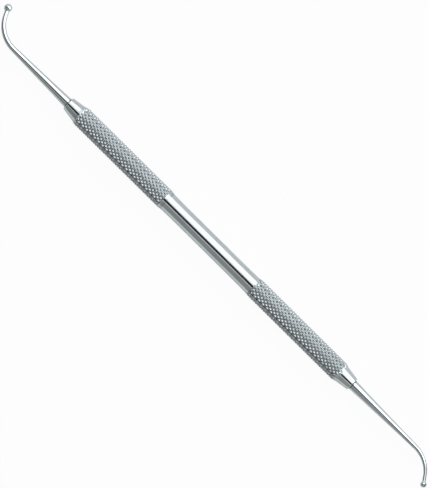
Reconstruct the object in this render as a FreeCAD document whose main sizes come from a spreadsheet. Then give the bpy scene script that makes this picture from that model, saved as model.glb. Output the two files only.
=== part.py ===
import FreeCAD, Part
import math
import os
import Sketcher
from FreeCAD import Placement, Rotation, Vector

# Dental burnisher with a ball at each end. The X axis is the handle's axis, with the large ball towards -X
# and the small ball towards +X. The origin is on the axis, midway along the handle. Z is up: the instrument
# lies on its two knurled grips and on its large ball, as it comes to rest on a tray.

SHEET = "sizes"
PARTS_FOLDER = "parts"

# Driving dimensions, in millimetres and degrees
SIZES = {
    # Handle, along its axis
    "handle_length": 110.0,
    "waist_length": 33.0,
    "ramp_length": 1.6,
    "ramp_blend": 8.0,
    "nose_length": 5.6,
    "flare_length": 1.6,
    # Handle, across its axis
    "grip_diameter": 6.0,
    "waist_diameter": 5.4,
    "nose_base_diameter": 5.12,
    "nose_wall": 0.51,
    "nose_edge_radius": 0.35,
    # Diamond knurl of the grips: the stock is what it takes off above its crests, and each setback is how far
    # down the ramp towards the waist a grip's knurl begins
    "knurl_starts": 18,
    "knurl_pitch": 1.535,
    "knurl_depth": 0.28,
    "knurl_stock": 0.05,
    "large_knurl_setback": 0.3,
    "small_knurl_setback": 1.5,
    # Tang of each shank, and the bore in each nose that it sits in
    "shank_diameter": 2.9,
    "tang_length": 10.0,
    "tang_chamfer": 0.35,
    "bore_side_clearance": 0.01,
    "bore_end_clearance": 0.4,
    "bore_mouth": 0.12,
    "drill_angle": 118.0,
    # Shank with the large ball, outwards from the nose
    "large_flare_length": 4.0,
    "large_flare_diameter": 2.64,
    "large_straight": 21.2,
    "large_bend_diameter": 1.6,
    "large_bend_radius": 9.0,
    "large_bend_angle": 64.6,
    "large_neck_diameter": 1.27,
    "large_tip_length": 2.4,
    "large_ball_diameter": 2.28,
    "large_fillet": 0.35,
    # Shank with the small ball, outwards from the nose
    "small_flare_length": 4.0,
    "small_flare_diameter": 2.64,
    "small_straight": 24.3,
    "small_bend_diameter": 1.4,
    "small_bend_radius": 9.0,
    "small_bend_angle": 56.4,
    "small_neck_diameter": 0.98,
    "small_tip_length": 2.4,
    "small_ball_diameter": 1.74,
    "small_fillet": 0.3,
}

HORIZONTAL_AXIS = -1
VERTICAL_AXIS = -2
START = 1
END = 2
CENTRE = 3

# How near counts as touching
TOUCH = 1e-4
# Wall of the sleeve that cuts the knurl, outside the crests
SLEEVE_WALL = 0.6
# The most of a nose's end face that the rounding of its edge may take
ROUNDED_SHARE = 0.95

doc = FreeCAD.newDocument("burnisher")


def fill_sheet():
    """Writes each driving dimension into a cell with its own alias."""
    sheet = doc.addObject("Spreadsheet::Sheet", SHEET)
    for row, (alias, value) in enumerate(SIZES.items(), start=1):
        sheet.set(f"A{row}", alias)
        sheet.set(f"B{row}", str(value))
        sheet.setAlias(f"B{row}", alias)
    doc.recompute()


def size(alias):
    """The expression that reads a size from the sheet."""
    return f"{SHEET}.{alias}"


def number(feature, expression):
    """What an expression comes to with the sheet as it is."""
    value = feature.evalExpression(expression)
    return float(getattr(value, "Value", value))


def origin_plane(body, role):
    return next(item for item in body.Origin.OriginFeatures if item.Role == role)


def add_sketch(body, name, role="XY_Plane"):
    """An empty sketch on one of the body's origin planes."""
    sketch = body.newObject("Sketcher::SketchObject", name)
    sketch.AttachmentSupport = [(origin_plane(body, role), "")]
    sketch.MapMode = "FlatFace"
    doc.recompute()
    return sketch


def pin(sketch, edge, end, x, y):
    """Holds one end of an edge, or its centre, at two expressions from the sketch's origin."""
    for kind, text, axis in (("DistanceX", x, VERTICAL_AXIS), ("DistanceY", y, HORIZONTAL_AXIS)):
        if text == "0":
            sketch.addConstraint(Sketcher.Constraint("PointOnObject", edge, end, axis))
        else:
            value = number(sketch, text)
            distance = Sketcher.Constraint(kind, HORIZONTAL_AXIS, START, edge, end, value)
            held = sketch.addConstraint(distance)
            sketch.setExpression(f"Constraints[{held}]", text)


def draw_outline(sketch, corners, ball_side=None):
    """A closed outline with its corners at pairs of expressions. Its sides are straight, but one may be an
    arc that ends on the sketch's horizontal axis and has its centre there."""
    points = [Vector(number(sketch, x), number(sketch, y), 0) for x, y in corners]
    ends = [(START, END)] * len(points)
    for side, start in enumerate(points):
        stop = points[(side + 1) % len(points)]
        if side != ball_side:
            sketch.addGeometry(Part.LineSegment(start, stop), False)
            continue
        reach = stop.x - start.x
        centre = Vector(stop.x - (reach * reach + start.y * start.y) / (2 * reach), 0, 0)
        circle = Part.Circle(centre, Vector(0, 0, 1), abs(stop.x - centre.x))
        angles = [circle.parameter(start), circle.parameter(stop)]
        if reach > 0:
            ends[side] = (END, START)
            angles.reverse()
        sketch.addGeometry(Part.ArcOfCircle(circle, *angles), False)
        sketch.addConstraint(Sketcher.Constraint("PointOnObject", side, CENTRE, HORIZONTAL_AXIS))
    for side, (x, y) in enumerate(corners):
        following = (side + 1) % len(points)
        first, last = ends[side]
        sketch.addConstraint(Sketcher.Constraint("Coincident", side, last, following, ends[following][0]))
        pin(sketch, side, first, x, y)


def on_side(corners, side):
    """Corners given outwards along the axis, placed at +X where the side is 1 or at -X where it is -1."""
    return [(x if x == "0" else f"{side} * ({x})", y) for x, y in corners]


def revolve(body, name, sketch):
    """Turns a sketch once round its horizontal axis."""
    turned = body.newObject("PartDesign::Revolution", name)
    turned.Profile = sketch
    turned.ReferenceAxis = (sketch, ["H_Axis"])
    turned.Angle = 360
    doc.recompute()


def round_edge(body, name, sketch, corner, radius):
    """Rounds the closed edge that passes through a sketch's corner, to a radius given as an expression."""
    base = body.Tip
    x, y = (number(sketch, text) for text in corner)
    place = Part.Vertex(sketch.Placement.multVec(Vector(x, y, 0)))
    found = [
        f"Edge{i}"
        for i, edge in enumerate(base.Shape.Edges, start=1)
        if edge.isClosed() and edge.distToShape(place)[0] < TOUCH
    ]
    if len(found) != 1:
        raise RuntimeError(f"{name}: {len(found)} edges pass through its corner")
    rounding = body.newObject("PartDesign::Fillet", name)
    rounding.Base = (base, found)
    rounding.setExpression("Radius", radius)
    doc.recompute()


def half_outline(side):
    """One side of the handle's outline, by the names of its corners, from the ramp out to the point of the
    bore. The side is 1 at +X and -1 at -X."""
    foot = f"{size('waist_length')} / 2"
    end = f"{size('handle_length')} / 2"
    shoulder = f"{end} - {size('nose_length')}"
    stock = f"{size('grip_diameter')} / 2 + {size('knurl_stock')}"
    bore = f"({size('shank_diameter')} / 2 + {size('bore_side_clearance')})"
    bottom = f"{end} - {size('tang_length')} - {size('bore_end_clearance')}"
    corners = {
        "ramp_foot": (foot, f"{size('waist_diameter')} / 2"),
        "ramp_top": (f"{foot} + {size('ramp_length')}", stock),
        "shoulder": (shoulder, stock),
        "flare_foot": (f"{shoulder} + {size('flare_length')}", f"{size('nose_base_diameter')} / 2"),
        "nose_edge": (end, f"{bore} + {size('nose_wall')}"),
        "bore_edge": (end, f"{bore} + {size('bore_mouth')}"),
        "bore_mouth": (f"{end} - {size('bore_mouth')}", bore),
        "bore_bottom": (bottom, bore),
        "bore_point": (f"{bottom} - {bore} / tan({size('drill_angle')} * 0.5 deg)", "0"),
    }
    return dict(zip(corners, on_side(corners.values(), side)))


def turned_blank():
    """The handle before knurling: the waist, and on each side a ramp, a grip and a coned nose with a bore."""
    body = doc.addObject("PartDesign::Body", "turned_blank")
    sketch = add_sketch(body, "handle_outline")
    left, right = half_outline(-1), half_outline(1)
    draw_outline(sketch, [*reversed(left.values()), *right.values()])
    revolve(body, "turned_bar", sketch)
    face_share = f"{ROUNDED_SHARE} * ({size('nose_wall')} - {size('bore_mouth')})"
    for name, half in (("large", left), ("small", right)):
        round_edge(body, f"{name}_ramp_foot", sketch, half["ramp_foot"], size("ramp_blend"))
        rounding = f"min({size('nose_edge_radius')}; {face_share})"
        round_edge(body, f"{name}_nose_edge", sketch, half["nose_edge"], rounding)
    return body


def knurl_sleeve(value, side, setback):
    """A sleeve round the grip on one side, whose bore is the knurl: two sets of crossing grooves that leave
    pointed diamonds. The bore is a lattice of stations along the axis and lines round it. Crests and groove
    crossings alternate on it both ways, and flat flanks join each crest to its four crossings."""
    lines = 2 * round(value["knurl_starts"])
    half_pitch = value["knurl_pitch"] / 2
    crest = value["grip_diameter"] / 2
    root = crest - value["knurl_depth"]
    rim = crest + SLEEVE_WALL
    begin = value["waist_length"] / 2 + value["ramp_length"] - setback
    finish = value["handle_length"] / 2 - value["nose_length"] + value["flare_length"]
    rows = math.ceil((finish - begin) / half_pitch)
    points = []
    facets = []

    def add_ring(row, even_radius, odd_radius):
        """A ring of points at one station. Two lines are equally far from straight down."""
        first = len(points)
        for line in range(lines):
            angle = (line + 0.5) * 2 * math.pi / lines
            radius = odd_radius if line % 2 else even_radius
            x = side * (begin + row * half_pitch)
            points.append((x, radius * math.sin(angle), -radius * math.cos(angle)))
        return first

    def add_quad(a, b, c, d):
        """Two facets of the quadrilateral a, b, d, c, with b and c joined."""
        facets.extend([(a, b, c), (b, d, c)])

    rings = [add_ring(row, *((root, crest) if row % 2 else (crest, root))) for row in range(rows + 1)]
    rims = [add_ring(row, rim, rim) for row in (0, rows)]
    for line in range(lines):
        after = (line + 1) % lines
        for row, (near, far) in enumerate(zip(rings, rings[1:])):
            if (row + line) % 2 == 0:
                add_quad(near + line, near + after, far + line, far + after)
            else:
                add_quad(near + after, far + after, near + line, far + line)
        add_quad(rims[0] + after, rims[0] + line, rims[1] + after, rims[1] + line)
        add_quad(rings[0] + after, rings[0] + line, rims[0] + after, rims[0] + line)
        add_quad(rings[-1] + line, rings[-1] + after, rims[1] + line, rims[1] + after)
    shell = Part.Shape()
    shell.makeShapeFromMesh((points, facets), TOUCH)
    sleeve = Part.Solid(shell)
    if sleeve.Volume < 0:
        sleeve.reverse()
    return sleeve


def knurl_cutters():
    """The two sleeves that cut the knurls of the two grips."""
    cutters = doc.addObject("Part::Feature", "knurl_cutters")
    value = {alias: number(cutters, size(alias)) for alias in SIZES}
    sleeves = [
        knurl_sleeve(value, -1, value["large_knurl_setback"]),
        knurl_sleeve(value, 1, value["small_knurl_setback"]),
    ]
    cutters.Shape = Part.makeCompound(sleeves)
    return cutters


def handle():
    """The turned bar with its two knurls cut."""
    knurled = doc.addObject("Part::Cut", "handle")
    knurled.Base = turned_blank()
    knurled.Tool = knurl_cutters()
    knurled.Refine = False
    doc.recompute()
    return knurled


def bend_end(kind):
    """Where a shank's bend ends, outwards and sideways from its nose, as two expressions."""
    radius = size(f"{kind}_bend_radius")
    angle = f"({size(f'{kind}_bend_angle')} * 1 deg)"
    outwards = f"({size(f'{kind}_straight')} + {radius} * sin({angle}))"
    sideways = f"({radius} * (1 - cos({angle})))"
    return outwards, sideways


def roll():
    """The angle by which the ends are rolled about the handle's axis. It brings the large ball down to the
    plane that two lines of the knurl's crests lie on."""
    crest_height = f"{size('grip_diameter')} / 2 * cos(90 deg / {size('knurl_starts')})"
    _, sideways = bend_end("large")
    reach = f"({sideways} + {size('large_tip_length')} * sin({size('large_bend_angle')} * 1 deg))"
    return f"asin(({crest_height} - {size('large_ball_diameter')} / 2) / {reach})"


def add_section(body, name, outwards, sideways, diameter, turn):
    """A round section of a shank, centred in the plane of the bend and turned in it."""
    section = add_sketch(body, name, "YZ_Plane")
    across = number(section, diameter)
    section.addGeometry(Part.Circle(Vector(0, 0, 0), Vector(0, 0, 1), across / 2), False)
    section.addConstraint(Sketcher.Constraint("Coincident", 0, CENTRE, HORIZONTAL_AXIS, START))
    held = section.addConstraint(Sketcher.Constraint("Diameter", 0, across))
    section.setExpression(f"Constraints[{held}]", diameter)
    section.AttachmentOffset = Placement(Vector(0, 0, 0), Rotation(Vector(0, -1, 0), 1))
    section.setExpression(".AttachmentOffset.Base.x", sideways)
    section.setExpression(".AttachmentOffset.Base.z", outwards)
    section.setExpression(".AttachmentOffset.Rotation.Angle", turn)
    doc.recompute()
    return section


def add_shank(body, kind, side):
    """The tang and the straight tapered shank, turned about the handle's axis."""
    tang = size("tang_length")
    chamfer = size("tang_chamfer")
    stock = f"{size('shank_diameter')} / 2"
    straight = size(f"{kind}_straight")
    sketch = add_sketch(body, f"{kind}_shank_outline")
    corners = [
        (f"-{tang}", "0"),
        (f"-{tang}", f"{stock} - {chamfer}"),
        (f"{chamfer} - {tang}", stock),
        ("0", stock),
        (size(f"{kind}_flare_length"), f"{size(f'{kind}_flare_diameter')} / 2"),
        (straight, f"{size(f'{kind}_bend_diameter')} / 2"),
        (straight, "0"),
    ]
    draw_outline(sketch, on_side(corners, side))
    revolve(body, f"{kind}_shank", sketch)


def add_bend(body, kind, side):
    """The bend, which tapers from the shank's diameter to the neck's along an arc."""
    straight = size(f"{kind}_straight")
    radius = size(f"{kind}_bend_radius")
    angle = f"{size(f'{kind}_bend_angle')} * 1 deg"
    outwards, sideways = bend_end(kind)

    path = add_sketch(body, f"{kind}_bend_path")
    centre_x, centre_y = f"{side} * {straight}", f"-{side} * {radius}"
    centre = Vector(number(path, centre_x), number(path, centre_y), 0)
    circle = Part.Circle(centre, Vector(0, 0, 1), number(path, radius))
    sweep = math.radians(number(path, angle))
    quarter = side * math.pi / 2
    path.addGeometry(Part.ArcOfCircle(circle, quarter - sweep, quarter), False)
    pin(path, 0, CENTRE, centre_x, centre_y)
    path.addConstraint(Sketcher.Constraint("PointOnObject", 0, END, HORIZONTAL_AXIS))
    path.addConstraint(Sketcher.Constraint("Vertical", 0, END, 0, CENTRE))
    held = path.addConstraint(Sketcher.Constraint("Angle", 0, sweep))
    path.setExpression(f"Constraints[{held}]", angle)

    shank_diameter = size(f"{kind}_bend_diameter")
    neck_diameter = size(f"{kind}_neck_diameter")
    end_x, end_y = f"{side} * {outwards}", f"-{side} * {sideways}"
    start = add_section(body, f"{kind}_bend_start", centre_x, "0", shank_diameter, "0 deg")
    end = add_section(body, f"{kind}_bend_end", end_x, end_y, neck_diameter, angle)
    bend = body.newObject("PartDesign::AdditivePipe", f"{kind}_bend")
    bend.Profile = start
    bend.Spine = (path, ["Edge1"])
    bend.Sections = [(end, [""])]
    bend.Transformation = "Multisection"
    doc.recompute()


def add_ball(body, kind, side):
    """The straight neck and the ball, turned about the line that the bend ends on."""
    outwards, sideways = bend_end(kind)
    sketch = add_sketch(body, f"{kind}_ball_outline")
    sketch.AttachmentOffset = Placement(Vector(0, 0, 0), Rotation(Vector(0, 0, -1), 1))
    sketch.setExpression(".AttachmentOffset.Base.x", f"{side} * {outwards}")
    sketch.setExpression(".AttachmentOffset.Base.y", f"-{side} * {sideways}")
    sketch.setExpression(".AttachmentOffset.Rotation.Angle", f"{size(f'{kind}_bend_angle')} * 1 deg")
    doc.recompute()
    ball = f"{size(f'{kind}_ball_diameter')} / 2"
    neck = f"{size(f'{kind}_neck_diameter')} / 2"
    tip = size(f"{kind}_tip_length")
    corners = on_side(
        [
            ("0", "0"),
            ("0", neck),
            (f"{tip} - sqrt(pow({ball}; 2) - pow({neck}; 2))", neck),
            (f"{tip} + {ball}", "0"),
        ],
        side,
    )
    draw_outline(sketch, corners, ball_side=2)
    revolve(body, f"{kind}_ball", sketch)
    round_edge(body, f"{kind}_ball_fillet", sketch, corners[2], size(f"{kind}_fillet"))


def ball_end(name, kind, side):
    """A working end in one piece. It points along +X with its ball towards -Y where the side is 1, or along
    -X with its ball towards +Y where the side is -1."""
    body = doc.addObject("PartDesign::Body", name)
    add_shank(body, kind, side)
    add_bend(body, kind, side)
    add_ball(body, kind, side)
    body.Placement = Placement(Vector(0, 0, 0), Rotation(Vector(-1, 0, 0), 1))
    body.setExpression(".Placement.Base.x", f"{side} * {size('handle_length')} / 2")
    body.setExpression(".Placement.Rotation.Angle", roll())
    doc.recompute()
    return body


def check(parts):
    """Stops if a feature has failed or a part isn't one valid solid."""
    for feature in doc.Objects:
        if {"Invalid", "Error"} & set(feature.State):
            raise RuntimeError(f"{feature.Label} has failed: {feature.State}")
    for part in parts:
        shape = part.Shape
        if shape.isNull() or not shape.isValid() or len(shape.Solids) != 1:
            raise RuntimeError(f"{part.Label} is not one valid solid")


def write(parts):
    """Writes each part to a file of its own name."""
    os.makedirs(PARTS_FOLDER, exist_ok=True)
    for part in parts:
        part.Shape.exportStep(os.path.join(PARTS_FOLDER, f"{part.Label}.step"))
        print(f"{part.Label}: {part.Shape.Volume:.1f} cubic mm")


fill_sheet()
parts = [ball_end("large_ball_end", "large", -1), ball_end("small_ball_end", "small", 1), handle()]
check(parts)
write(parts)
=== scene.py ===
"""A double-ended dental burnisher: a turned and knurled handle with a bent ball end in each nose."""

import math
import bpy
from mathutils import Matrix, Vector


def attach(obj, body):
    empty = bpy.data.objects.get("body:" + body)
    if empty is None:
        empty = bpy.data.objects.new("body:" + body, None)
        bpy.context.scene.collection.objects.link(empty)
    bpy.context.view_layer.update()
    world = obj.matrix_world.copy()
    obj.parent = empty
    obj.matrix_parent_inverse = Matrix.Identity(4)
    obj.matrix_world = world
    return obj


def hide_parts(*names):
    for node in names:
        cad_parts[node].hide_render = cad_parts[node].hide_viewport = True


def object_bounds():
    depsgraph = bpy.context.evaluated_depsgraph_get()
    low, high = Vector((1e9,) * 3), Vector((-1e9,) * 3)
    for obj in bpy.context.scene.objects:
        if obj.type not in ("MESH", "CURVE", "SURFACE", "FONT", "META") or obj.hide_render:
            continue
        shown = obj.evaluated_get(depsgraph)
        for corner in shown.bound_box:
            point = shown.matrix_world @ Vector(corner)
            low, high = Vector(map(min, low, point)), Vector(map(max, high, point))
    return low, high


bl_info = {
    "name": "Dental Burnisher",
    "version": (1, 0, 0),
    "blender": (4, 5, 0),
    "location": "3D View > Sidebar > Burnisher",
    "description": "Builds a knurled steel handle, its two bent ball ends and a studio round them",
    "category": "Add Mesh",
}

import bpy
from mathutils import Vector

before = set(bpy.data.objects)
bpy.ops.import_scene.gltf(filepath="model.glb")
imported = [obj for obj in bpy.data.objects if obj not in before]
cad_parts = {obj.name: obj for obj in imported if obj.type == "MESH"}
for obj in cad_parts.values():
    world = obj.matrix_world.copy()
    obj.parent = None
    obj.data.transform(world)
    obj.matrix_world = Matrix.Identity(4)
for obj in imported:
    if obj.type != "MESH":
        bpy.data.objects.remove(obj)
CAD_BOX = [list(corner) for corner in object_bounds()]

MM = 0.001
# Fold in degrees from which an inner edge is shaded as sharp.
SHARP_FOLD = 22
# How far the knurl's points stand over those of the solid handle.
POINT_RISE = 0.07 * MM
FLOOR_HEIGHT = CAD_BOX[0][2] - POINT_RISE
# Width of the narrow rows beside a corner, which keep its shading crisp.
CREASE = 0.02 * MM
# Points of a mesh that lie closer than this are welded.
WELD = 0.0005 * MM
# Greatest distance between the rows of a mesh: on plain bar, where the bar swells, and on a nose.
BAR_STEP, SWELL_STEP, NOSE_STEP = 0.6 * MM, 0.12 * MM, 0.16 * MM
# The same on a hidden tang and on a bare shank.
TANG_STEP, SHANK_STEP = 1.5 * MM, 0.3 * MM
# Length over which the bar swells before a knurl, and distance from its last plain row to the knurl.
SWELL_LENGTH, KNURL_GAP = 3 * MM, 0.015 * MM
# Angle in degrees at which a nose's cone runs into its round edge.
EDGE_START = 83
# The photograph's frame in pixels, and the pixel where the middle of the handle lies.
FRAME_WIDTH, FRAME_HEIGHT = 429, 488
HANDLE_COLUMN, HANDLE_ROW = 210.3, 243.9

# Distance from the middle of the handle and radius there, before the knurl is rolled, in millimetres.
TURNED_PROFILE = (
    (0.0, 2.684), (8.0, 2.687), (11.0, 2.695), (13.5, 2.710), (15.0, 2.730), (16.1, 2.760),
    (16.8, 2.830), (17.4, 2.925), (17.9, 3.035), (18.4, 3.100), (18.9, 3.120), (49.2, 3.120),
    (49.6, 3.055), (50.2, 2.870), (50.8, 2.650), (51.3, 2.530), (52.2, 2.395), (53.3, 2.230),
    (54.65, 2.020),
)
# Distance from the nose and radius of each bare shank, in millimetres.
LARGE_SHANK = (
    (0.0, 1.450), (1.0, 1.430), (2.1, 1.395), (3.2, 1.350), (4.3, 1.300), (6.5, 1.225), (8.7, 1.160),
    (10.9, 1.092), (13.1, 1.028), (15.3, 0.965), (17.5, 0.900), (19.7, 0.838), (21.5, 0.795),
    (26.0, 0.710), (31.4, 0.637), (33.0, 0.632),
)
SMALL_SHANK = (
    (0.0, 1.450), (1.0, 1.440), (2.1, 1.410), (3.2, 1.360), (5.4, 1.255), (7.6, 1.190), (9.8, 1.115),
    (12.0, 1.040), (14.2, 0.968), (16.4, 0.900), (18.6, 0.830), (20.8, 0.780), (23.0, 0.730),
    (27.0, 0.615), (33.2, 0.492), (35.0, 0.487),
)


def length_property(title, text, value):
    """A size in metres that the panel shows in the user's own unit."""
    return bpy.props.FloatProperty(
        name=title, description=text, default=value, min=0.0, precision=5, unit="LENGTH"
    )


def colour_property(title, text, value):
    """A plain colour."""
    return bpy.props.FloatVectorProperty(
        name=title, description=text, default=value, min=0.0, max=1.0, size=3, subtype="COLOR"
    )


def share_property(title, text, value):
    """A share between nothing and all."""
    return bpy.props.FloatProperty(
        name=title, description=text, default=value, min=0.0, max=1.0, subtype="FACTOR"
    )


def angle_property(title, text, value):
    """An angle, given in degrees here and kept in radians."""
    return bpy.props.FloatProperty(
        name=title, description=text, default=math.radians(value), subtype="ANGLE"
    )


class HandleSettings(bpy.types.PropertyGroup):
    """Sizes and finish of the handle."""

    half_length: length_property("Half Length", "From the middle to the face of a nose", 55 * MM)
    nose_round: length_property("Nose Round", "Radius on the outer edge of a nose", 0.35 * MM)
    bore_radius: length_property("Bore Radius", "Radius of the hole that holds a shank", 1.46 * MM)
    bore_depth: length_property("Bore Depth", "Depth of that hole to its full width", 10.4 * MM)
    bore_mouth: length_property("Bore Mouth", "Chamfer at the mouth of that hole", 0.12 * MM)
    drill_angle: angle_property("Drill Angle", "Angle of the cone that ends the hole", 118)
    crest_radius: length_property(
        "Crest Radius", "Radius over the points of the knurl", 3 * MM + POINT_RISE
    )
    knurl_depth: length_property("Knurl Depth", "From the points to the grooves' crossings", 0.39 * MM)
    knurl_pitch: length_property("Knurl Pitch", "From a point to the next along the handle", 1.535 * MM)
    knurl_end: length_property("Knurl End", "From the middle to where the grooves run out", 51.4 * MM)
    large_knurl_start: length_property(
        "Large Side Knurl Start", "From the middle to the knurl by the large ball", 17.8 * MM
    )
    small_knurl_start: length_property(
        "Small Side Knurl Start", "From the middle to the knurl by the small ball", 16.6 * MM
    )
    knurl_starts: bpy.props.IntProperty(
        name="Knurl Starts", description="Points in one ring of the knurl", default=18, min=6
    )
    steps: bpy.props.IntProperty(
        name="Steps", description="Mesh steps from a point to a crossing", default=6, min=1, max=6
    )
    crest_flat: share_property("Crest Flat", "Share of a diamond that stays unrolled at its point", 0.1)
    groove_flat: share_property("Groove Flat", "Share of a diamond that the groove's floor takes", 0.06)
    colour: colour_property("Steel", "Colour of the handle's steel", (0.69, 0.745, 0.76))
    roughness: share_property("Roughness", "Roughness of the turned surfaces", 0.13)
    # Groove shade is painted shade that darkens the knurl's grooves.
    groove_shade: share_property("Groove Shade", "How much of its colour the grooves' steel keeps", 0.45)
    groove_roughness: share_property("Groove Roughness", "Roughness that the grooves have on top", 0.08)


class EndSettings(bpy.types.PropertyGroup):
    """Sizes and finish of the two ball ends."""

    tang_length: length_property("Tang Length", "How far a shank reaches into the handle", 10 * MM)
    tang_chamfer: length_property("Tang Chamfer", "Chamfer on the hidden end of a shank", 0.35 * MM)
    bend_radius: length_property("Bend Radius", "Radius of both bends along the middle line", 9 * MM)
    tip_length: length_property("Tip Length", "From the end of a bend to the middle of its ball", 2.4 * MM)
    large_straight: length_property("Large Straight", "From the nose to the large side's bend", 21.2 * MM)
    small_straight: length_property("Small Straight", "From the nose to the small side's bend", 24.3 * MM)
    large_bend: angle_property("Large Bend", "Angle of the bend behind the large ball", 64.6)
    small_bend: angle_property("Small Bend", "Angle of the bend behind the small ball", 56.4)
    large_ball: length_property("Large Ball", "Diameter of the large ball", 2.28 * MM)
    small_ball: length_property("Small Ball", "Diameter of the small ball", 1.74 * MM)
    large_fillet: length_property("Large Fillet", "Radius between neck and large ball", 0.35 * MM)
    small_fillet: length_property("Small Fillet", "Radius between neck and small ball", 0.3 * MM)
    facets: bpy.props.IntProperty(
        name="Facets", description="Mesh facets around a shank", default=72, min=12, max=256
    )
    colour: colour_property("Steel", "Colour of the ends' steel", (0.70, 0.755, 0.77))
    roughness: share_property("Roughness", "Roughness of the polished surfaces", 0.11)
    # The seam line is painted shade: a darker band on each shank beside its nose.
    seam_line: length_property("Seam Line", "Width of the dark line beside a nose", 0.25 * MM)
    seam_blur: length_property("Seam Blur", "Blur to each side of that line's edge", 0.07 * MM)
    seam_shade: share_property("Seam Shade", "How much of its colour the line's steel keeps", 0.22)


class StudioSettings(bpy.types.PropertyGroup):
    """Camera, floor and light."""

    pixel: length_property("Pixel", "What one pixel of the photograph spans on the object", 0.2752 * MM)
    distance: length_property("Distance", "From the camera down to the handle", 1.2)
    turn: angle_property("Turn", "Turn of the camera about the upright", 44.69)
    floor_radius: length_property("Floor Radius", "Radius of the round floor", 2.5)
    floor_colour: colour_property("Floor", "Colour of the floor", (0.66, 0.67, 0.67))
    floor_whiteness: share_property("Whiteness", "How far the floor is seen as plain white", 0.96)
    floor_gleam: share_property("Gleam", "How far the floor is white in a reflection", 0.25)
    card_place: length_property("Card Place", "From the middle of the handle to the grey card", 0.098)
    card_colour: colour_property("Card", "Colour of the grey card", (0.24, 0.25, 0.25))
    lamp_power: bpy.props.FloatProperty(
        name="Lamp Power", description="Power of the soft lamp", default=2.6, min=0.0, unit="POWER"
    )


def smooth_through(points, place):
    """Height at a place on the curve through the points, which never overshoots them."""
    last = len(points) - 1
    if place >= points[last][0]:
        return points[last][1]
    index = next(i for i in range(last) if place < points[i + 1][0])
    slopes = [(points[i + 1][1] - points[i][1]) / (points[i + 1][0] - points[i][0]) for i in range(last)]

    def tangent(i):
        before, after = slopes[max(i - 1, 0)], slopes[min(i, last - 1)]
        return 2 * before * after / (before + after) if before * after > 0 else 0.0

    left, right = points[index], points[index + 1]
    span = right[0] - left[0]
    t = (place - left[0]) / span
    return (
        left[1] * (1 + 2 * t) * (1 - t) ** 2
        + right[1] * t * t * (3 - 2 * t)
        + span * (tangent(index) * t * (1 - t) ** 2 - tangent(index + 1) * t * t * (1 - t))
    )


def arc(centre, radius, first, last, count):
    """Places and radii on an arc, its angles in degrees from the outward direction of the bar."""
    places = []
    for i in range(count + 1):
        angle = math.radians(first + (last - first) * i / count)
        places.append((centre[0] + radius * math.cos(angle), centre[1] + radius * math.sin(angle)))
    return places


def evenly(first, last, step):
    """Places from first up to but without last, no further apart than step."""
    count = max(1, math.ceil((last - first) / step))
    return [first + (last - first) * i / count for i in range(count)]


def add_node(tree, kind, inputs=None, **options):
    """Adds a node with its options set and each named input fed by a value or another node's output."""
    node = tree.nodes.new(kind)
    for name, value in options.items():
        setattr(node, name, value)
    for key, value in (inputs or {}).items():
        if isinstance(value, bpy.types.NodeSocket):
            tree.links.new(value, node.inputs[key])
        else:
            node.inputs[key].default_value = value
    return node


def math_node(tree, operation, *terms):
    """The result of one sum on sockets and numbers."""
    return add_node(tree, "ShaderNodeMath", dict(enumerate(terms)), operation=operation).outputs[0]


def add_socket(tree, title, kind, direction="INPUT", value=None):
    """Gives a node group one more named socket."""
    socket = tree.interface.new_socket(title, in_out=direction, socket_type=kind)
    if value is not None:
        socket.default_value = value
    return socket


def set_inputs(modifier, values):
    """Sets a Geometry Nodes modifier's inputs by the identifiers of their sockets."""
    listed = modifier.node_group.interface.items_tree
    sockets = {s.name: s.identifier for s in listed if s.in_out == "INPUT"}
    for title, value in values.items():
        modifier[sockets[title]] = value


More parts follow.
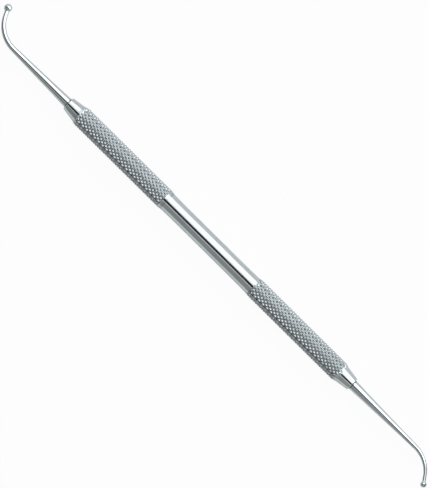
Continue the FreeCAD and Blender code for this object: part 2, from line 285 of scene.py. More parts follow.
def lathe_tree():
    """A grid with one row for each ring of a profile, and the place, radius and angle of its points."""
    tree = bpy.data.node_groups.new("Lathe rows", "GeometryNodeTree")
    add_socket(tree, "Profile", "NodeSocketGeometry")
    add_socket(tree, "Facets", "NodeSocketInt", value=72)
    add_socket(tree, "Grid", "NodeSocketGeometry", "OUTPUT")
    for title in ("Row", "Along", "Radius", "Angle"):
        add_socket(tree, title, "NodeSocketFloat", "OUTPUT")
    given = add_node(tree, "NodeGroupInput")
    result = add_node(tree, "NodeGroupOutput")

    rows = add_node(tree, "GeometryNodeAttributeDomainSize", {"Geometry": given.outputs["Profile"]})
    columns = math_node(tree, "ADD", given.outputs["Facets"], 1)
    grid = add_node(
        tree,
        "GeometryNodeMeshGrid",
        {"Vertices X": rows.outputs["Point Count"], "Vertices Y": columns},
    )
    index = add_node(tree, "GeometryNodeInputIndex").outputs[0]
    middle = math_node(tree, "ADD", index, 0.5)
    row = math_node(tree, "FLOOR", math_node(tree, "DIVIDE", middle, columns))
    column = math_node(tree, "SUBTRACT", index, math_node(tree, "MULTIPLY", row, columns))

    def sampled(field, kind):
        sample = add_node(
            tree,
            "GeometryNodeSampleIndex",
            {"Geometry": given.outputs["Profile"], "Index": row},
            data_type=kind,
        )
        tree.links.new(field, sample.inputs["Value"])
        return sample.outputs[0]

    place = add_node(tree, "GeometryNodeInputPosition").outputs[0]
    place = add_node(tree, "ShaderNodeSeparateXYZ", {0: sampled(place, "FLOAT_VECTOR")})
    stagger = add_node(tree, "GeometryNodeInputNamedAttribute", {"Name": "stagger"}, data_type="FLOAT")
    turned = math_node(tree, "ADD", column, sampled(stagger.outputs[0], "FLOAT"))
    turned = math_node(tree, "DIVIDE", turned, given.outputs["Facets"])

    keep = add_node(
        tree, "GeometryNodeCaptureAttribute", {"Geometry": grid.outputs["Mesh"]}, domain="POINT"
    )
    fields = {"Row": row, "Along": place.outputs["X"], "Radius": place.outputs["Y"], "Share": turned}
    for title, field in fields.items():
        keep.capture_items.new("FLOAT", title)
        tree.links.new(field, keep.inputs[title])
    flat = add_node(
        tree, "ShaderNodeCombineXYZ", {"X": keep.outputs["Along"], "Y": keep.outputs["Share"]}
    )
    stored = add_node(
        tree,
        "GeometryNodeStoreNamedAttribute",
        {"Geometry": keep.outputs["Geometry"], "Name": "UVMap", "Value": flat.outputs[0]},
        data_type="FLOAT2",
        domain="CORNER",
    )
    angle = math_node(tree, "MULTIPLY", keep.outputs["Share"], math.tau)
    tree.links.new(stored.outputs[0], result.inputs["Grid"])
    for title in ("Row", "Along", "Radius"):
        tree.links.new(keep.outputs[title], result.inputs[title])
    tree.links.new(angle, result.inputs["Angle"])
    return tree


def close_up(tree, geometry, material):
    """Welds the seam and the poles of a rolled grid, splits its squares and gives it its steel."""
    closed = add_node(tree, "GeometryNodeMergeByDistance", {"Geometry": geometry, "Distance": WELD})
    split = add_node(
        tree, "GeometryNodeTriangulate", {"Mesh": closed.outputs[0]}, quad_method="SHORTEST_DIAGONAL"
    )
    smooth = add_node(tree, "GeometryNodeSetShadeSmooth", {0: split.outputs[0]})
    fold = add_node(tree, "GeometryNodeInputMeshEdgeAngle").outputs["Signed Angle"]
    sharp = add_node(
        tree,
        "GeometryNodeSetShadeSmooth",
        {
            0: smooth.outputs[0],
            "Selection": math_node(tree, "LESS_THAN", fold, math.radians(-SHARP_FOLD)),
            "Shade Smooth": False,
        },
        domain="EDGE",
    )
    real = add_node(tree, "GeometryNodeRealizeInstances", {0: sharp.outputs[0]})
    return add_node(tree, "GeometryNodeSetMaterial", {0: real.outputs[0], "Material": material}).outputs[0]


def knurled_bar_tree(lathe):
    """A turned bar on the X axis with crossed grooves rolled into the rows that are marked for them."""
    tree = bpy.data.node_groups.new("Knurled bar", "GeometryNodeTree")
    add_socket(tree, "Profile", "NodeSocketGeometry")
    add_socket(tree, "Facets", "NodeSocketInt", value=108)
    add_socket(tree, "Starts", "NodeSocketInt", value=18)
    add_socket(tree, "First Angle", "NodeSocketFloat", value=0.0)
    add_socket(tree, "Crest Radius", "NodeSocketFloat", value=3 * MM)
    add_socket(tree, "Depth", "NodeSocketFloat", value=0.39 * MM)
    add_socket(tree, "Crest Flat", "NodeSocketFloat", value=0.1)
    add_socket(tree, "Groove Flat", "NodeSocketFloat", value=0.06)
    add_socket(tree, "Steel", "NodeSocketMaterial")
    add_socket(tree, "Geometry", "NodeSocketGeometry", "OUTPUT")
    given = add_node(tree, "NodeGroupInput").outputs
    result = add_node(tree, "NodeGroupOutput")

    turned = add_node(
        tree,
        "GeometryNodeGroup",
        {"Profile": given["Profile"], "Facets": given["Facets"]},
        node_tree=lathe,
    ).outputs

    pitches = add_node(tree, "GeometryNodeInputNamedAttribute", {"Name": "pitches"}, data_type="FLOAT")
    sample = add_node(
        tree,
        "GeometryNodeSampleIndex",
        {"Geometry": given["Profile"], "Index": turned["Row"]},
        data_type="FLOAT",
    )
    tree.links.new(pitches.outputs[0], sample.inputs["Value"])
    along = sample.outputs[0]
    turns = math_node(tree, "DIVIDE", turned["Angle"], math.tau)
    around = math_node(tree, "MULTIPLY", turns, given["Starts"])

    def off_point(operation):
        """How far a place is from the nearest groove-free line of one hand, 0 to a half."""
        lead = math_node(tree, operation, along, around)
        nearest = math_node(tree, "ROUND", lead)
        return math_node(tree, "ABSOLUTE", math_node(tree, "SUBTRACT", lead, nearest))

    further = math_node(tree, "MAXIMUM", off_point("ADD"), off_point("SUBTRACT"))
    rolled = math_node(tree, "MULTIPLY", further, 2)
    sunk = add_node(
        tree,
        "ShaderNodeMapRange",
        {
            "Value": rolled,
            "From Min": given["Crest Flat"],
            "From Max": math_node(tree, "SUBTRACT", 1, given["Groove Flat"]),
        },
    ).outputs[0]
    diamond = math_node(
        tree, "SUBTRACT", given["Crest Radius"], math_node(tree, "MULTIPLY", sunk, given["Depth"])
    )
    plain = math_node(tree, "LESS_THAN", along, 0)
    limit = math_node(tree, "ADD", diamond, plain)
    radius = math_node(tree, "MINIMUM", turned["Radius"], limit)

    angle = math_node(tree, "ADD", turned["Angle"], given["First Angle"])
    across = math_node(tree, "MULTIPLY", radius, math_node(tree, "SINE", angle))
    below = math_node(tree, "MULTIPLY", radius, math_node(tree, "COSINE", angle))
    point = add_node(
        tree,
        "ShaderNodeCombineXYZ",
        {"X": turned["Along"], "Y": across, "Z": math_node(tree, "MULTIPLY", below, -1)},
    )
    bar = add_node(
        tree, "GeometryNodeSetPosition", {"Geometry": turned["Grid"], "Position": point.outputs[0]}
    )
    tree.links.new(close_up(tree, bar.outputs[0], given["Steel"]), result.inputs["Geometry"])
    return tree


def bent_pin_tree(lathe):
    """A turned pin that starts on the X axis and bends once, then is turned about the axis."""
    tree = bpy.data.node_groups.new("Bent pin", "GeometryNodeTree")
    add_socket(tree, "Profile", "NodeSocketGeometry")
    add_socket(tree, "Facets", "NodeSocketInt", value=72)
    add_socket(tree, "Bend Start", "NodeSocketFloat", value=76 * MM)
    add_socket(tree, "Bend Radius", "NodeSocketFloat", value=9 * MM)
    add_socket(tree, "Bend Angle", "NodeSocketFloat", value=1.0)
    add_socket(tree, "Facing", "NodeSocketFloat", value=0.0)
    add_socket(tree, "Roll", "NodeSocketFloat", value=0.0)
    add_socket(tree, "Steel", "NodeSocketMaterial")
    add_socket(tree, "Geometry", "NodeSocketGeometry", "OUTPUT")
    given = add_node(tree, "NodeGroupInput").outputs
    result = add_node(tree, "NodeGroupOutput")

    turned = add_node(
        tree,
        "GeometryNodeGroup",
        {"Profile": given["Profile"], "Facets": given["Facets"]},
        node_tree=lathe,
    ).outputs

    past = math_node(tree, "SUBTRACT", turned["Along"], given["Bend Start"])
    past = math_node(tree, "MAXIMUM", past, 0)
    bent = math_node(tree, "DIVIDE", past, given["Bend Radius"])
    bent = math_node(tree, "MINIMUM", bent, given["Bend Angle"])
    rest = math_node(tree, "SUBTRACT", past, math_node(tree, "MULTIPLY", bent, given["Bend Radius"]))
    straight = math_node(tree, "MINIMUM", turned["Along"], given["Bend Start"])
    cosine, sine = math_node(tree, "COSINE", bent), math_node(tree, "SINE", bent)
    forward = math_node(
        tree,
        "ADD",
        straight,
        math_node(
            tree,
            "ADD",
            math_node(tree, "MULTIPLY", sine, given["Bend Radius"]),
            math_node(tree, "MULTIPLY", rest, cosine),
        ),
    )
    sideways = math_node(
        tree,
        "ADD",
        math_node(tree, "MULTIPLY", math_node(tree, "SUBTRACT", 1, cosine), given["Bend Radius"]),
        math_node(tree, "MULTIPLY", rest, sine),
    )
    middle = add_node(tree, "ShaderNodeCombineXYZ", {"X": forward, "Y": sideways})
    below = math_node(tree, "COSINE", turned["Angle"])
    out = add_node(
        tree,
        "ShaderNodeCombineXYZ",
        {
            "Y": math_node(tree, "MULTIPLY", turned["Radius"], math_node(tree, "SINE", turned["Angle"])),
            "Z": math_node(tree, "MULTIPLY", turned["Radius"], math_node(tree, "MULTIPLY", below, -1)),
        },
    )
    swung = add_node(
        tree, "ShaderNodeVectorRotate", {"Vector": out.outputs[0], "Angle": bent}, rotation_type="Z_AXIS"
    )
    point = add_node(
        tree, "ShaderNodeVectorMath", {0: middle.outputs[0], 1: swung.outputs[0]}, operation="ADD"
    )
    pin = add_node(
        tree, "GeometryNodeSetPosition", {"Geometry": turned["Grid"], "Position": point.outputs[0]}
    )
    faced = add_node(tree, "ShaderNodeCombineXYZ", {"Z": given["Facing"]})
    faced = add_node(
        tree, "GeometryNodeTransform", {"Geometry": pin.outputs[0], "Rotation": faced.outputs[0]}
    )
    rolled = add_node(tree, "ShaderNodeCombineXYZ", {"X": given["Roll"]})
    rolled = add_node(
        tree, "GeometryNodeTransform", {"Geometry": faced.outputs[0], "Rotation": rolled.outputs[0]}
    )
    tree.links.new(close_up(tree, rolled.outputs[0], given["Steel"]), result.inputs["Geometry"])
    return tree


def spin(name, rows, tree, inputs, material):
    """Makes a plain closed mesh from a profile's rows: place, radius, stagger and pitches of knurl."""
    mesh = bpy.data.meshes.new(name)
    mesh.from_pydata([(row[0], row[1], 0.0) for row in rows], [], [])
    for title, column in (("stagger", 2), ("pitches", 3)):
        values = mesh.attributes.new(title, "FLOAT", "POINT").data
        values.foreach_set("value", [row[column] for row in rows])
    piece = bpy.data.objects.new(name, mesh)
    bpy.context.scene.collection.objects.link(piece)
    modifier = piece.modifiers.new("Shape", "NODES")
    modifier.node_group = tree
    set_inputs(modifier, inputs | {"Steel": material})
    depsgraph = bpy.context.evaluated_depsgraph_get()
    shaped = bpy.data.meshes.new_from_object(
        piece.evaluated_get(depsgraph), preserve_all_data_layers=True, depsgraph=depsgraph
    )
    piece.modifiers.remove(modifier)
    piece.data = shaped
    bpy.data.meshes.remove(mesh)
    shaped.name = name
    if not shaped.polygons:
        raise RuntimeError(f"{name} came out empty")
    return piece


def turned_radius(along):
    """Radius of the turned handle at a distance from its middle, both in metres."""
    return smooth_through(TURNED_PROFILE, along / MM) * MM


def nose_rows(handle):
    """Rows from the end of the knurl round the nose and down the bore to its point, going outwards."""
    end, edge = handle.half_length, handle.nose_round
    rows = [(a, turned_radius(a)) for a in evenly(handle.knurl_end, end - edge, NOSE_STEP)]
    brim = turned_radius(end - edge)
    rows += arc((end - edge, brim - edge), edge, EDGE_START, 0, 10)
    inner, mouth = handle.bore_radius, handle.bore_mouth
    rows += [(end, inner + mouth + CREASE), (end, inner + mouth)]
    rows += [(end - mouth / 2, inner + mouth / 2), (end - mouth, inner), (end - mouth - CREASE, inner)]
    floor = end - handle.bore_depth
    rows += [(a, inner) for a in (end - 1 * MM, end - 5 * MM, floor + CREASE, floor)]
    tip = floor - inner / math.tan(handle.drill_angle / 2)
    return rows + [((floor + tip) / 2, inner / 2), (tip, 0.0)]


def side_rows(handle, knurl_start):
    """Rows of one half of the handle, from its middle outwards."""
    ring = handle.knurl_pitch / 2 / handle.steps
    count = 2 * math.ceil((handle.knurl_end - knurl_start) / ring / 2)
    shoulder = knurl_start - SWELL_LENGTH
    plain = evenly(0.0, shoulder, BAR_STEP) + evenly(shoulder, knurl_start, SWELL_STEP)
    plain.append(knurl_start - KNURL_GAP)
    rows = [(a, turned_radius(a), 0.0, -1.0) for a in plain]
    for i in range(count + 1):
        along = knurl_start + i * ring
        rows.append((along, turned_radius(along), (i % 2) / 2, i * ring / handle.knurl_pitch))
    finished = rows[-1][0]
    for along, radius in nose_rows(handle):
        if along > finished or radius <= handle.bore_radius:
            rows.append((along, radius, 0.0, -1.0))
    return rows


def handle_rows(handle):
    """Rows of the whole handle, from the bore on the large ball's side to the other bore."""
    large = side_rows(handle, handle.large_knurl_start)
    small = side_rows(handle, handle.small_knurl_start)
    mirrored = [(-a, r, stagger, pitches) for a, r, stagger, pitches in reversed(large)]
    return mirrored[:-1] + small


def end_rows(ends, seam, shank, straight, bend, ball, fillet):
    """Rows of a ball end, from its hidden tang to the far pole of the ball."""
    tang, chamfer, radius = ends.tang_length, ends.tang_chamfer, shank[0][1] * MM
    start = seam - tang
    rows = [(start, 0.0), (start, radius - chamfer - CREASE), (start, radius - chamfer)]
    rows += [(start + chamfer / 2, radius - chamfer / 2), (start + chamfer, radius)]
    rows += [(a, radius) for a in evenly(start + chamfer + CREASE, seam, TANG_STEP)]
    centre = straight + bend * ends.bend_radius + ends.tip_length
    neck = smooth_through(shank, (centre - ball / 2) / MM) * MM
    reach = math.sqrt((ball / 2 + fillet) ** 2 - (neck + fillet) ** 2)
    rows += [
        (seam + a, smooth_through(shank, a / MM) * MM) for a in evenly(0.0, centre - reach, SHANK_STEP)
    ]
    turn = math.degrees(math.atan2(neck + fillet, reach))
    rows += arc((seam + centre - reach, neck + fillet), fillet, 270, 360 - turn, 8)
    rows += arc((seam + centre, 0.0), ball / 2, 180 - turn, 0, 30)[1:-1]
    rows.append((seam + centre + ball / 2, 0.0))
    return [(a, r, 0.0, -1.0) for a, r in rows]


def turning_group():
    """Fine rings from the lathe or the polishing wheel: their height and a share for roughness."""
    tree = bpy.data.node_groups.new("Turning rings", "ShaderNodeTree")
    add_socket(tree, "Along", "NodeSocketFloat")
    add_socket(tree, "Rings per Metre", "NodeSocketFloat", value=4000.0)
    add_socket(tree, "Height", "NodeSocketFloat", "OUTPUT")
    given = add_node(tree, "NodeGroupInput").outputs
    result = add_node(tree, "NodeGroupOutput")
    place = math_node(tree, "MULTIPLY", given["Along"], given["Rings per Metre"])
    fine = add_node(
        tree,
        "ShaderNodeTexNoise",
        {"W": place, "Scale": 1.0, "Detail": 3.0, "Roughness": 0.6},
        noise_dimensions="1D",
    )
    tree.links.new(fine.outputs["Fac"], result.inputs["Height"])
    return tree


def handling_group():
    """Faint cloudy wear from wiping and sterilising: a share that is 0 where clean and 1 where dull."""
    tree = bpy.data.node_groups.new("Handling marks", "ShaderNodeTree")
    add_socket(tree, "Point", "NodeSocketVector")
    add_socket(tree, "Clouds per Metre", "NodeSocketFloat", value=300.0)
    add_socket(tree, "Dullness", "NodeSocketFloat", "OUTPUT")
    given = add_node(tree, "NodeGroupInput").outputs
    result = add_node(tree, "NodeGroupOutput")
    clouds = add_node(
        tree,
        "ShaderNodeTexNoise",
        {"Vector": given["Point"], "Scale": given["Clouds per Metre"], "Detail": 4.0, "Roughness": 0.55},
    )
    dull = add_node(
        tree,
        "ShaderNodeMapRange",
        {"Value": clouds.outputs["Fac"], "From Min": 0.38, "From Max": 0.72},
        interpolation_type="SMOOTHSTEP",
    )
    tree.links.new(dull.outputs[0], result.inputs["Dullness"])
    return tree


def group_node(tree, group, inputs):
    """Places a shader node group in a material with its own values."""
    return add_node(tree, "ShaderNodeGroup", inputs, node_tree=group).outputs[0]


def empty_material(name):
    """A material without nodes."""
    material = bpy.data.materials.new(name)
    material.use_nodes = True
    material.node_tree.nodes.clear()
    return material, material.node_tree


def show_surface(tree, shader, kind="ShaderNodeOutputMaterial"):
    """Leads a shader node to the output of a material or world."""
    output = add_node(tree, kind)
    tree.links.new(shader.outputs[0], output.inputs["Surface"])


def mixed_surface(tree, share, first, second):
    """A shader between two others."""
    return add_node(tree, "ShaderNodeMixShader", {0: share, 1: first.outputs[0], 2: second.outputs[0]})


def new_steel(name):
    """A bare metal material with its Principled shader."""
    material, tree = empty_material(name)
    shader = add_node(tree, "ShaderNodeBsdfPrincipled", {"Metallic": 1.0})
    show_surface(tree, shader)
    return material, tree, shader


def mixed(tree, share, first, second):
    """A colour between two others."""
    return add_node(tree, "ShaderNodeMix", {0: share, 6: first, 7: second}, data_type="RGBA").outputs[2]


def shade(colour, share):
    """A colour times a share, with its alpha."""
    return (*[share * c for c in colour], 1)


def between(tree, share, low, high):
    """A number from low to high as the share goes from 0 to 1."""
    return add_node(
        tree, "ShaderNodeMapRange", {"Value": share, "To Min": low, "To Max": high}
    ).outputs[0]


def worn_steel(tree, dull, finish, wear):
    """Colour and roughness of bare steel, from clean to dull."""
    kept, smoother, rougher = wear
    colour = mixed(tree, dull, shade(finish.colour, 1), shade(finish.colour, kept))
    return colour, between(tree, dull, finish.roughness - smoother, finish.roughness + rougher)


def raise_rings(tree, shader, rings, strength, height):
    """Makes the fine rings stand out of a shader's surface."""
    bump = add_node(tree, "ShaderNodeBump", {"Height": rings, "Strength": strength, "Distance": height})
    tree.links.new(bump.outputs[0], shader.inputs["Normal"])


# Share of its colour that dull steel keeps, and how much smoother clean steel and rougher dull steel is.
HANDLE_WEAR, END_WEAR = (0.93, 0.02, 0.04), (0.92, 0.02, 0.05)
# Painted shade darkens the grooves from this far under the points, up to this far before the knurl's end.
GROOVE_START, GROOVE_STOP = 0.08 * MM, 1.5 * MM


def handle_steel(handle, turning, handling):
    """Turned steel: bright on the waist and noses, with duller grooves that painted shade darkens."""
    material, tree, shader = new_steel("handle_steel")
    point = add_node(tree, "ShaderNodeTexCoord").outputs["Object"]
    parts = add_node(tree, "ShaderNodeSeparateXYZ", {0: point}).outputs
    rings = group_node(tree, turning, {"Along": parts["X"], "Rings per Metre": 9000.0})
    dull = group_node(tree, handling, {"Point": point, "Clouds per Metre": 260.0})

    squares = math_node(
        tree, "ADD", math_node(tree, "POWER", parts["Y"], 2), math_node(tree, "POWER", parts["Z"], 2)
    )
    radius = math_node(tree, "SQRT", squares)
    distance = math_node(tree, "ABSOLUTE", parts["X"])
    knurled = math_node(
        tree,
        "MULTIPLY",
        math_node(tree, "GREATER_THAN", distance, handle.small_knurl_start),
        math_node(tree, "LESS_THAN", distance, handle.knurl_end - GROOVE_STOP),
    )
    sunk = add_node(
        tree,
        "ShaderNodeMapRange",
        {
            "Value": radius,
            "From Min": handle.crest_radius - GROOVE_START,
            "From Max": handle.crest_radius - handle.knurl_depth,
        },
    ).outputs[0]
    groove = math_node(tree, "MULTIPLY", sunk, knurled)

    open_colour, open_roughness = worn_steel(tree, dull, handle, HANDLE_WEAR)
    # The grooves' steel is darkened with painted shade.
    colour = mixed(tree, groove, open_colour, shade(handle.colour, handle.groove_shade))
    tree.links.new(colour, shader.inputs["Base Color"])
    extra = math_node(tree, "MULTIPLY", groove, handle.groove_roughness)
    roughness = math_node(tree, "ADD", open_roughness, extra)
    tree.links.new(roughness, shader.inputs["Roughness"])
    raise_rings(tree, shader, rings, 0.05, 0.02 * MM)
    return material


def end_steel(ends, seam, turning, handling):
    """Hard bright steel, polished along the shanks, with faint wear and painted shade beside the seam."""
    material, tree, shader = new_steel("end_steel")
    coordinates = add_node(tree, "ShaderNodeTexCoord").outputs
    path = add_node(tree, "ShaderNodeSeparateXYZ", {0: coordinates["UV"]}).outputs
    rings = group_node(tree, turning, {"Along": path["X"], "Rings per Metre": 7000.0})
    dull = group_node(tree, handling, {"Point": coordinates["Object"], "Clouds per Metre": 700.0})
    # A band beside each nose is darkened with painted shade, standing in for the shade in the seam.
    edge = seam + ends.seam_line
    painted_seam_shade = add_node(
        tree,
        "ShaderNodeMapRange",
        {"Value": path["X"], "From Min": edge + ends.seam_blur, "From Max": edge - ends.seam_blur},
    ).outputs[0]
    open_colour, roughness = worn_steel(tree, dull, ends, END_WEAR)
    colour = mixed(tree, painted_seam_shade, open_colour, shade(ends.colour, ends.seam_shade))
    tree.links.new(colour, shader.inputs["Base Color"])
    tree.links.new(roughness, shader.inputs["Roughness"])
    raise_rings(tree, shader, rings, 0.04, 0.01 * MM)
    return material


def floor_paper(studio):
    """Pale paper that is seen as white, also in metal, and keeps a soft shadow."""
    material, tree = empty_material("floor_paper")
    paper = add_node(tree, "ShaderNodeBsdfDiffuse", {"Color": (*studio.floor_colour, 1)})
    white = add_node(tree, "ShaderNodeEmission", {"Color": (1, 1, 1, 1), "Strength": 1.0})
    rays = add_node(tree, "ShaderNodeLightPath").outputs
    seen = math_node(tree, "MULTIPLY", rays["Is Camera Ray"], studio.floor_whiteness)
    mirrored = math_node(tree, "MAXIMUM", rays["Is Glossy Ray"], rays["Is Transmission Ray"])
    mirrored = math_node(tree, "MULTIPLY", mirrored, studio.floor_gleam)
    share = math_node(tree, "MAXIMUM", seen, mirrored)
    show_surface(tree, mixed_surface(tree, share, paper, white))
    return material


# Width and depth of the soft lamp, and its place over the bright side.
LAMP_SIZE, LAMP_PLACE = (0.9, 0.5), (0.0, 0.75, 0.75)
# From where to where the grey card reaches along Y, and its height.
CARD_SPAN, CARD_HEIGHT = (-0.012, 0.03), 0.05
# Tints of the studio on its dim and on its bright side.
DIM_TINT, BRIGHT_TINT = (0.99, 1.0, 0.985), (0.97, 1.0, 1.03)
# How much brighter the studio is towards +X, and dimmer towards -X.
SIDE_GAIN = 0.4
# Angle from straight up towards +Y in degrees, and how bright the studio is there.
STUDIO_LIGHT = (
    (-90, 0.38), (-82, 0.26), (-72, 0.27), (-58, 0.30), (-42, 0.25), (-36, 0.30), (-28, 0.60), (-23, 0.60),
    (-18, 0.0), (0, 0.0), (5, 0.40), (11, 1.20), (17, 1.35), (58, 1.35), (68, 1.15), (78, 0.80), (90, 0.55),
)


def light_the_studio():
    """World light that is one soft wall on the +Y side, dim on the other, with a dark band overhead."""
    world = bpy.data.worlds.new("studio")
    bpy.context.scene.world = world
    world.use_nodes = True
    tree = world.node_tree
    tree.nodes.clear()
    direction = add_node(tree, "ShaderNodeTexCoord").outputs["Generated"]
    parts = add_node(tree, "ShaderNodeSeparateXYZ", {0: direction}).outputs
    lean = math_node(tree, "ARCTAN2", parts["Y"], parts["Z"])
    share = add_node(
        tree, "ShaderNodeMapRange", {"Value": lean, "From Min": -math.pi / 2, "From Max": math.pi / 2}
    )
    ramp = add_node(tree, "ShaderNodeValToRGB", {"Fac": share.outputs[0]})
    steps = ramp.color_ramp.elements
    while len(steps) < len(STUDIO_LIGHT):
        steps.new(0.5)
    brightest = max(level for _, level in STUDIO_LIGHT)
    for step, (angle, level) in zip(steps, STUDIO_LIGHT):
        step.position = (angle + 90) / 180
        tint = BRIGHT_TINT if angle > 0 else DIM_TINT
        step.color = shade(tint, level / brightest)
    side = math_node(tree, "ADD", 1, math_node(tree, "MULTIPLY", parts["X"], SIDE_GAIN))
    studio = add_node(
        tree,
        "ShaderNodeBackground",
        {"Color": ramp.outputs["Color"], "Strength": math_node(tree, "MULTIPLY", side, brightest)},
    )
    white = add_node(tree, "ShaderNodeBackground", {"Color": (1, 1, 1, 1), "Strength": 1.0})
    rays = add_node(tree, "ShaderNodeLightPath").outputs
    show_surface(tree, mixed_surface(tree, rays["Is Camera Ray"], studio, white), "ShaderNodeOutputWorld")


def add_sheet(name, outline, material):
    """A flat sheet of the studio with one face inside its outline."""
    mesh = bpy.data.meshes.new(name)
    mesh.from_pydata(outline, [], [tuple(range(len(outline)))])
    mesh.materials.append(material)
    sheet = bpy.data.objects.new(name, mesh)
    bpy.context.scene.collection.objects.link(sheet)


def lay_floor(studio):
    """A round floor under the object's lowest points."""
    count = 96
    rim = [
        (
            studio.floor_radius * math.cos(math.tau * i / count),
            studio.floor_radius * math.sin(math.tau * i / count),
            FLOOR_HEIGHT,
        )
        for i in range(count)
    ]
    add_sheet("floor", rim, floor_paper(studio))


def stand_card(studio):
    """A grey card beyond the small ball, seen only in the metal, where the bright wall ends."""
    material, tree = empty_material("grey_card")
    grey = add_node(tree, "ShaderNodeEmission", {"Color": (*studio.card_colour, 1), "Strength": 1.0})
    clear = add_node(tree, "ShaderNodeBsdfTransparent")
    rays = add_node(tree, "ShaderNodeLightPath").outputs
    show_surface(tree, mixed_surface(tree, rays["Is Glossy Ray"], clear, grey))
    near, far = CARD_SPAN
    outline = ((near, FLOOR_HEIGHT), (far, FLOOR_HEIGHT), (far, CARD_HEIGHT), (near, CARD_HEIGHT))
    add_sheet("grey_card", [(studio.card_place, y, z) for y, z in outline], material)


def hang_lamp(studio):
    """One wide soft lamp on the bright side."""
    data = bpy.data.lights.new("soft_lamp", "AREA")
    data.shape = "RECTANGLE"
    data.size, data.size_y = LAMP_SIZE
    data.energy = studio.lamp_power
    lamp = bpy.data.objects.new("soft_lamp", data)
    bpy.context.scene.collection.objects.link(lamp)
    lamp.location = LAMP_PLACE
    lamp.rotation_euler = Vector(lamp.location).to_track_quat("Z", "Y").to_euler()


def place_camera(studio):
    """Looks straight down on the object, as the photograph does."""
    data = bpy.data.cameras.new("camera")
    data.sensor_width = 36
    data.lens = data.sensor_width / 2 * studio.distance / (FRAME_HEIGHT / 2 * studio.pixel)
    camera = bpy.data.objects.new("camera", data)
    bpy.context.scene.collection.objects.link(camera)
    camera.rotation_euler = (0.0, 0.0, studio.turn)
    right = Vector((math.cos(studio.turn), math.sin(studio.turn), 0.0))
    up = Vector((-math.sin(studio.turn), math.cos(studio.turn), 0.0))
    aim = right * (FRAME_WIDTH / 2 - HANDLE_COLUMN) * studio.pixel
    aim += up * (HANDLE_ROW - FRAME_HEIGHT / 2) * studio.pixel
    camera.location = aim + Vector((0.0, 0.0, studio.distance))
    bpy.context.scene.camera = camera


def settings():
    """The three groups of settings."""
    scene = bpy.context.scene
    return scene.burnisher_handle, scene.burnisher_ends, scene.burnisher_studio


def shared_group(name, build):
    """A node group that is built once and then used again."""
    return bpy.data.node_groups.get(name) or build()


class BURNISHER_OT_handle(bpy.types.Operator):
    """Turn and knurl the handle and drill its two noses"""

    bl_idname = "burnisher.handle"
    bl_label = "Knurled Handle"

    def execute(self, context):
        handle, _, _ = settings()
        lathe = shared_group("Lathe rows", lathe_tree)
        steel = handle_steel(
            handle,
            shared_group("Turning rings", turning_group),
            shared_group("Handling marks", handling_group),
        )
        step = math.tau / handle.knurl_starts
        piece = spin(
            "knurled_handle",
            handle_rows(handle),
            knurled_bar_tree(lathe),
            {
                "Facets": handle.knurl_starts * handle.steps,
                "Starts": handle.knurl_starts,
                "First Angle": step / 4,
                "Crest Radius": handle.crest_radius,
                "Depth": handle.knurl_depth,
                "Crest Flat": handle.crest_flat,
                "Groove Flat": handle.groove_flat,
            },
            steel,
        )
        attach(piece, "root")
        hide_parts("handle")
        return {"FINISHED"}


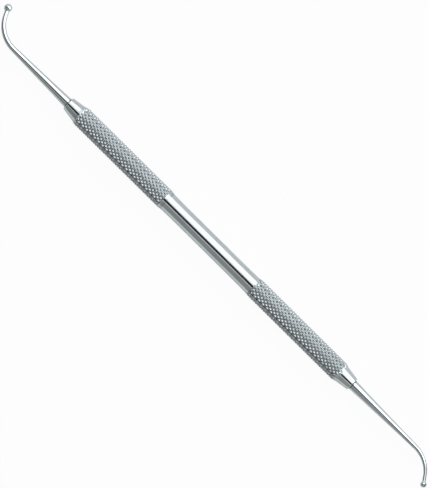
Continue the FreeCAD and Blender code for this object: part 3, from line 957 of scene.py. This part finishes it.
class BURNISHER_OT_ball_ends(bpy.types.Operator):
    """Bend and set the large and the small ball end"""

    bl_idname = "burnisher.ball_ends"
    bl_label = "Ball Ends"

    def execute(self, context):
        handle, ends, _ = settings()
        lathe = shared_group("Lathe rows", lathe_tree)
        tree = bent_pin_tree(lathe)
        steel = end_steel(
            ends,
            handle.half_length,
            shared_group("Turning rings", turning_group),
            shared_group("Handling marks", handling_group),
        )
        arc_reach = ends.bend_radius * (1 - math.cos(ends.large_bend))
        reach = arc_reach + ends.tip_length * math.sin(ends.large_bend)
        drop = -FLOOR_HEIGHT - ends.large_ball / 2
        roll = math.pi - math.asin(drop / reach)
        large_sizes = (ends.large_straight, ends.large_bend, ends.large_ball, ends.large_fillet)
        small_sizes = (ends.small_straight, ends.small_bend, ends.small_ball, ends.small_fillet)
        sides = (
            ("large_ball_end", LARGE_SHANK, large_sizes, math.pi),
            ("small_ball_end", SMALL_SHANK, small_sizes, 0.0),
        )
        for node, shank, sizes, facing in sides:
            straight, bend, _, _ = sizes
            piece = spin(
                "polished_" + node,
                end_rows(ends, handle.half_length, shank, *sizes),
                tree,
                {
                    "Facets": ends.facets,
                    "Bend Start": handle.half_length + straight,
                    "Bend Radius": ends.bend_radius,
                    "Bend Angle": bend,
                    "Facing": facing,
                    "Roll": roll,
                },
                steel,
            )
            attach(piece, "root")
            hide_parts(node)
        return {"FINISHED"}


class BURNISHER_OT_studio(bpy.types.Operator):
    """Set up the floor, the light and the camera"""

    bl_idname = "burnisher.studio"
    bl_label = "Studio"

    def execute(self, context):
        _, _, studio = settings()
        context.scene.view_settings.view_transform = "Standard"
        lay_floor(studio)
        light_the_studio()
        stand_card(studio)
        hang_lamp(studio)
        place_camera(studio)
        return {"FINISHED"}


class BURNISHER_PT_panel(bpy.types.Panel):
    """Lists the settings and the steps"""

    bl_idname = "BURNISHER_PT_panel"
    bl_label = "Dental Burnisher"
    bl_space_type = "VIEW_3D"
    bl_region_type = "UI"
    bl_category = "Burnisher"

    def draw(self, context):
        groups = zip(settings(), ("burnisher.handle", "burnisher.ball_ends", "burnisher.studio"))
        for group, step in groups:
            box = self.layout.box()
            for name in group.__annotations__:
                box.prop(group, name)
            box.operator(step)


CLASSES = (
    HandleSettings,
    EndSettings,
    StudioSettings,
    BURNISHER_OT_handle,
    BURNISHER_OT_ball_ends,
    BURNISHER_OT_studio,
    BURNISHER_PT_panel,
)


def register():
    for cls in CLASSES:
        bpy.utils.register_class(cls)
    bpy.types.Scene.burnisher_handle = bpy.props.PointerProperty(type=HandleSettings)
    bpy.types.Scene.burnisher_ends = bpy.props.PointerProperty(type=EndSettings)
    bpy.types.Scene.burnisher_studio = bpy.props.PointerProperty(type=StudioSettings)


def unregister():
    del bpy.types.Scene.burnisher_studio
    del bpy.types.Scene.burnisher_ends
    del bpy.types.Scene.burnisher_handle
    for cls in reversed(CLASSES):
        bpy.utils.unregister_class(cls)


def main():
    """Builds every piece and the studio."""
    register()
    bpy.ops.burnisher.handle()
    bpy.ops.burnisher.ball_ends()
    bpy.ops.burnisher.studio()


if __name__ == "__main__":
    main()
